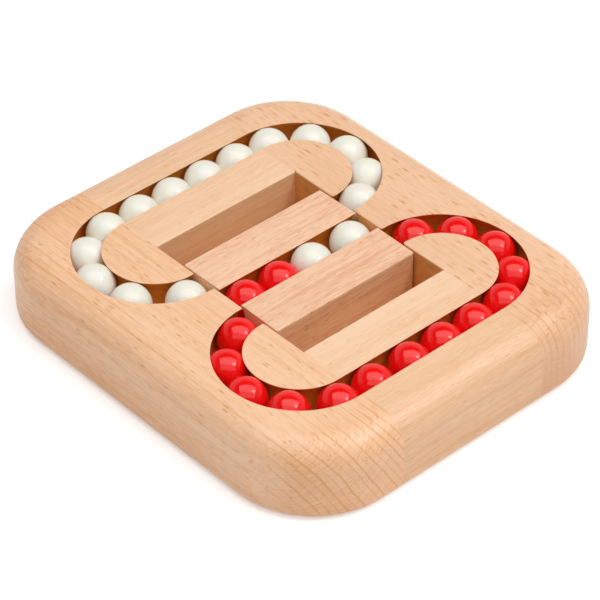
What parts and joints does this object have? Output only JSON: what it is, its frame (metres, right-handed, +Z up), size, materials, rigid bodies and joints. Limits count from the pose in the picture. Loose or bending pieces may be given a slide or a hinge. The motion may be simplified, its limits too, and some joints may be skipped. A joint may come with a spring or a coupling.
{
  "type": "rolling ball transfer puzzle",
  "caption": "Rounded beech slab with two stadium-shaped ball tracks, one white and one red, and a sliding shuttle between them that carries balls across.",
  "frame": {"origin": "centre of the underside", "axes": "+Z up out of the playing face, +X along the straight tracks and the shuttle's channel, +Y from the red loop to the white loop, the way the shuttle slides"},
  "size_m": [0.12, 0.1374, 0.0245],
  "materials": {
    "end_block_beech": "sanded beech with a satin wax, grain along Y",
    "rail_beech": "sanded beech with a satin wax, grain along X",
    "shuttle_beech": "steamed beech, pinkish, fine dark pores along X",
    "panel_beech": "beech veneered panel, matt",
    "white_gloss": "ivory white, glossy",
    "red_gloss": "bright red, glossy"
  },
  "bodies": {
    "frame": {"left_end_block": "end_block_beech", "right_end_block": "end_block_beech", "rear_rail": "rail_beech", "front_rail": "rail_beech", "back_panel": "panel_beech"},
    "shuttle": {"shuttle_block": "shuttle_beech"},
    "white_ball_01": {"white_ball_01": "white_gloss"},
    "white_ball_02": {"white_ball_02": "white_gloss"},
    "white_ball_03": {"white_ball_03": "white_gloss"},
    "white_ball_04": {"white_ball_04": "white_gloss"},
    "white_ball_05": {"white_ball_05": "white_gloss"},
    "white_ball_06": {"white_ball_06": "white_gloss"},
    "white_ball_07": {"white_ball_07": "white_gloss"},
    "white_ball_08": {"white_ball_08": "white_gloss"},
    "white_ball_09": {"white_ball_09": "white_gloss"},
    "white_ball_10": {"white_ball_10": "white_gloss"},
    "white_ball_11": {"white_ball_11": "white_gloss"},
    "white_ball_12": {"white_ball_12": "white_gloss"},
    "white_ball_13": {"white_ball_13": "white_gloss"},
    "white_ball_14": {"white_ball_14": "white_gloss"},
    "red_ball_01": {"red_ball_01": "red_gloss"},
    "red_ball_02": {"red_ball_02": "red_gloss"},
    "red_ball_03": {"red_ball_03": "red_gloss"},
    "red_ball_04": {"red_ball_04": "red_gloss"},
    "red_ball_05": {"red_ball_05": "red_gloss"},
    "red_ball_06": {"red_ball_06": "red_gloss"},
    "red_ball_07": {"red_ball_07": "red_gloss"},
    "red_ball_08": {"red_ball_08": "red_gloss"},
    "red_ball_09": {"red_ball_09": "red_gloss"},
    "red_ball_10": {"red_ball_10": "red_gloss"},
    "red_ball_11": {"red_ball_11": "red_gloss"},
    "red_ball_12": {"red_ball_12": "red_gloss"},
    "red_ball_13": {"red_ball_13": "red_gloss"},
    "red_ball_14": {"red_ball_14": "red_gloss"},
    "red_ball_15": {"red_ball_15": "red_gloss"},
    "red_ball_16": {"red_ball_16": "red_gloss"},
    "white_ball_15": {"white_ball_15": "white_gloss"},
    "white_ball_16": {"white_ball_16": "white_gloss"}
  },
  "joints": [
    {"name": "shuttle_slide", "type": "slide", "parent": "frame", "child": "shuttle", "axis": [0, 1, 0], "range_m": [-0.01, 0.01]},
    {"name": "white_row_roll", "type": "hinge", "parent": "frame", "child": "white_ball_01", "pos_m": [-0.0266, 0.0293, 0.0185], "axis": [0, 0, -1], "range_deg": [0, 18.6]},
    {"name": "white_ball_02_follow", "type": "hinge", "parent": "frame", "child": "white_ball_02", "pos_m": [-0.0266, 0.0293, 0.0185], "axis": [0, 0, -1], "range_deg": [0, 8.39]},
    {"name": "white_ball_03_follow", "type": "hinge", "parent": "frame", "child": "white_ball_03", "pos_m": [-0.0266, 0.0293, 0.0185], "axis": [0, 0, -1], "range_deg": [0, 4.67]},
    {"name": "white_ball_04_follow", "type": "hinge", "parent": "frame", "child": "white_ball_04", "pos_m": [-0.0266, 0.0293, 0.0185], "axis": [0, 0, -1], "range_deg": [0, 4.67]},
    {"name": "white_ball_05_follow", "type": "hinge", "parent": "frame", "child": "white_ball_05", "pos_m": [-0.0266, 0.0293, 0.0185], "axis": [0, 0, -1], "range_deg": [0, 4.67]},
    {"name": "white_ball_06_follow", "type": "slide", "parent": "frame", "child": "white_ball_06", "axis": [1, 0, 0], "range_m": [0, 0.00158]},
    {"name": "white_ball_07_follow", "type": "slide", "parent": "frame", "child": "white_ball_07", "axis": [1, 0, 0], "range_m": [0, 0.00158]},
    {"name": "white_ball_08_follow", "type": "slide", "parent": "frame", "child": "white_ball_08", "axis": [1, 0, 0], "range_m": [0, 0.00158]},
    {"name": "white_ball_09_follow", "type": "slide", "parent": "frame", "child": "white_ball_09", "axis": [1, 0, 0], "range_m": [0, 0.00158]},
    {"name": "white_ball_10_follow", "type": "hinge", "parent": "frame", "child": "white_ball_10", "pos_m": [0.0266, 0.0293, 0.0185], "axis": [0, 0, -1], "range_deg": [0, 4.77]},
    {"name": "white_ball_11_follow", "type": "hinge", "parent": "frame", "child": "white_ball_11", "pos_m": [0.0266, 0.0293, 0.0185], "axis": [0, 0, -1], "range_deg": [0, 4.77]},
    {"name": "white_ball_12_follow", "type": "hinge", "parent": "frame", "child": "white_ball_12", "pos_m": [0.0266, 0.0293, 0.0185], "axis": [0, 0, -1], "range_deg": [0, 4.77]},
    {"name": "white_ball_13_follow", "type": "hinge", "parent": "frame", "child": "white_ball_13", "pos_m": [0.0266, 0.0293, 0.0185], "axis": [0, 0, -1], "range_deg": [0, 4.77]},
    {"name": "white_ball_14_follow", "type": "hinge", "parent": "frame", "child": "white_ball_14", "pos_m": [0.0266, 0.0293, 0.0185], "axis": [0, 0, -1], "range_deg": [0, 4.77]},
    {"name": "red_row_roll", "type": "hinge", "parent": "frame", "child": "red_ball_01", "pos_m": [-0.0266, -0.0293, 0.0185], "axis": [0, 0, 1], "range_deg": [0, 18.6]},
    {"name": "red_ball_02_follow", "type": "hinge", "parent": "frame", "child": "red_ball_02", "pos_m": [-0.0266, -0.0293, 0.0185], "axis": [0, 0, 1], "range_deg": [0, 14.9]},
    {"name": "red_ball_03_follow", "type": "hinge", "parent": "frame", "child": "red_ball_03", "pos_m": [-0.0266, -0.0293, 0.0185], "axis": [0, 0, 1], "range_deg": [0, 14.34]},
    {"name": "red_ball_04_follow", "type": "hinge", "parent": "frame", "child": "red_ball_04", "pos_m": [-0.0266, -0.0293, 0.0185], "axis": [0, 0, 1], "range_deg": [0, 12.85]},
    {"name": "red_ball_05_follow", "type": "hinge", "parent": "frame", "child": "red_ball_05", "pos_m": [-0.0266, -0.0293, 0.0185], "axis": [0, 0, 1], "range_deg": [0, 8.39]},
    {"name": "red_ball_06_follow", "type": "slide", "parent": "frame", "child": "red_ball_06", "axis": [1, 0, 0], "range_m": [0, 0.00282]},
    {"name": "red_ball_07_follow", "type": "slide", "parent": "frame", "child": "red_ball_07", "axis": [1, 0, 0], "range_m": [0, 0.00157]},
    {"name": "red_ball_08_follow", "type": "slide", "parent": "frame", "child": "red_ball_08", "axis": [1, 0, 0], "range_m": [0, 0.00157]},
    {"name": "red_ball_09_follow", "type": "slide", "parent": "frame", "child": "red_ball_09", "axis": [1, 0, 0], "range_m": [0, 0.00157]},
    {"name": "red_ball_10_follow", "type": "hinge", "parent": "frame", "child": "red_ball_10", "pos_m": [0.0266, -0.0293, 0.0185], "axis": [0, 0, 1], "range_deg": [0, 4.74]},
    {"name": "red_ball_11_follow", "type": "hinge", "parent": "frame", "child": "red_ball_11", "pos_m": [0.0266, -0.0293, 0.0185], "axis": [0, 0, 1], "range_deg": [0, 4.74]},
    {"name": "red_ball_12_follow", "type": "hinge", "parent": "frame", "child": "red_ball_12", "pos_m": [0.0266, -0.0293, 0.0185], "axis": [0, 0, 1], "range_deg": [0, 4.74]},
    {"name": "red_ball_13_follow", "type": "hinge", "parent": "frame", "child": "red_ball_13", "pos_m": [0.0266, -0.0293, 0.0185], "axis": [0, 0, 1], "range_deg": [0, 4.74]},
    {"name": "red_ball_14_follow", "type": "hinge", "parent": "frame", "child": "red_ball_14", "pos_m": [0.0266, -0.0293, 0.0185], "axis": [0, 0, 1], "range_deg": [0, 4.74]},
    {"name": "channel_row_roll", "type": "slide", "parent": "shuttle", "child": "red_ball_15", "axis": [1, 0, 0], "range_m": [0, 0.0025]},
    {"name": "red_ball_16_follow", "type": "slide", "parent": "shuttle", "child": "red_ball_16", "axis": [1, 0, 0], "range_m": [0, 0.00245]},
    {"name": "white_ball_15_follow", "type": "slide", "parent": "shuttle", "child": "white_ball_15", "axis": [1, 0, 0], "range_m": [0, 0.00245]},
    {"name": "white_ball_16_follow", "type": "slide", "parent": "shuttle", "child": "white_ball_16", "axis": [1, 0, 0], "range_m": [0, 0.0001]}
  ],
  "couplings": [
    {"joint": "white_ball_02_follow", "follows": "white_row_roll", "ratio": 0.45},
    {"joint": "white_ball_03_follow", "follows": "white_row_roll", "ratio": 0.25},
    {"joint": "white_ball_04_follow", "follows": "white_row_roll", "ratio": 0.25},
    {"joint": "white_ball_05_follow", "follows": "white_row_roll", "ratio": 0.25},
    {"joint": "white_ball_06_follow", "follows": "white_row_roll", "m_per_rad": 0.004816},
    {"joint": "white_ball_07_follow", "follows": "white_row_roll", "m_per_rad": 0.004816},
    {"joint": "white_ball_08_follow", "follows": "white_row_roll", "m_per_rad": 0.004816},
    {"joint": "white_ball_09_follow", "follows": "white_row_roll", "m_per_rad": 0.004816},
    {"joint": "white_ball_10_follow", "follows": "white_row_roll", "ratio": 0.2556},
    {"joint": "white_ball_11_follow", "follows": "white_row_roll", "ratio": 0.2556},
    {"joint": "white_ball_12_follow", "follows": "white_row_roll", "ratio": 0.2556},
    {"joint": "white_ball_13_follow", "follows": "white_row_roll", "ratio": 0.2556},
    {"joint": "white_ball_14_follow", "follows": "white_row_roll", "ratio": 0.2556},
    {"joint": "red_ball_02_follow", "follows": "red_row_roll", "ratio": 0.8},
    {"joint": "red_ball_03_follow", "follows": "red_row_roll", "ratio": 0.77},
    {"joint": "red_ball_04_follow", "follows": "red_row_roll", "ratio": 0.69},
    {"joint": "red_ball_05_follow", "follows": "red_row_roll", "ratio": 0.45},
    {"joint": "red_ball_06_follow", "follows": "red_row_roll", "m_per_rad": 0.008649},
    {"joint": "red_ball_07_follow", "follows": "red_row_roll", "m_per_rad": 0.004789},
    {"joint": "red_ball_08_follow", "follows": "red_row_roll", "m_per_rad": 0.004789},
    {"joint": "red_ball_09_follow", "follows": "red_row_roll", "m_per_rad": 0.004789},
    {"joint": "red_ball_10_follow", "follows": "red_row_roll", "ratio": 0.2542},
    {"joint": "red_ball_11_follow", "follows": "red_row_roll", "ratio": 0.2542},
    {"joint": "red_ball_12_follow", "follows": "red_row_roll", "ratio": 0.2542},
    {"joint": "red_ball_13_follow", "follows": "red_row_roll", "ratio": 0.2542},
    {"joint": "red_ball_14_follow", "follows": "red_row_roll", "ratio": 0.2542},
    {"joint": "red_ball_16_follow", "follows": "channel_row_roll", "ratio": 0.98},
    {"joint": "white_ball_15_follow", "follows": "channel_row_roll", "ratio": 0.98},
    {"joint": "white_ball_16_follow", "follows": "channel_row_roll", "ratio": 0.04}
  ]
}
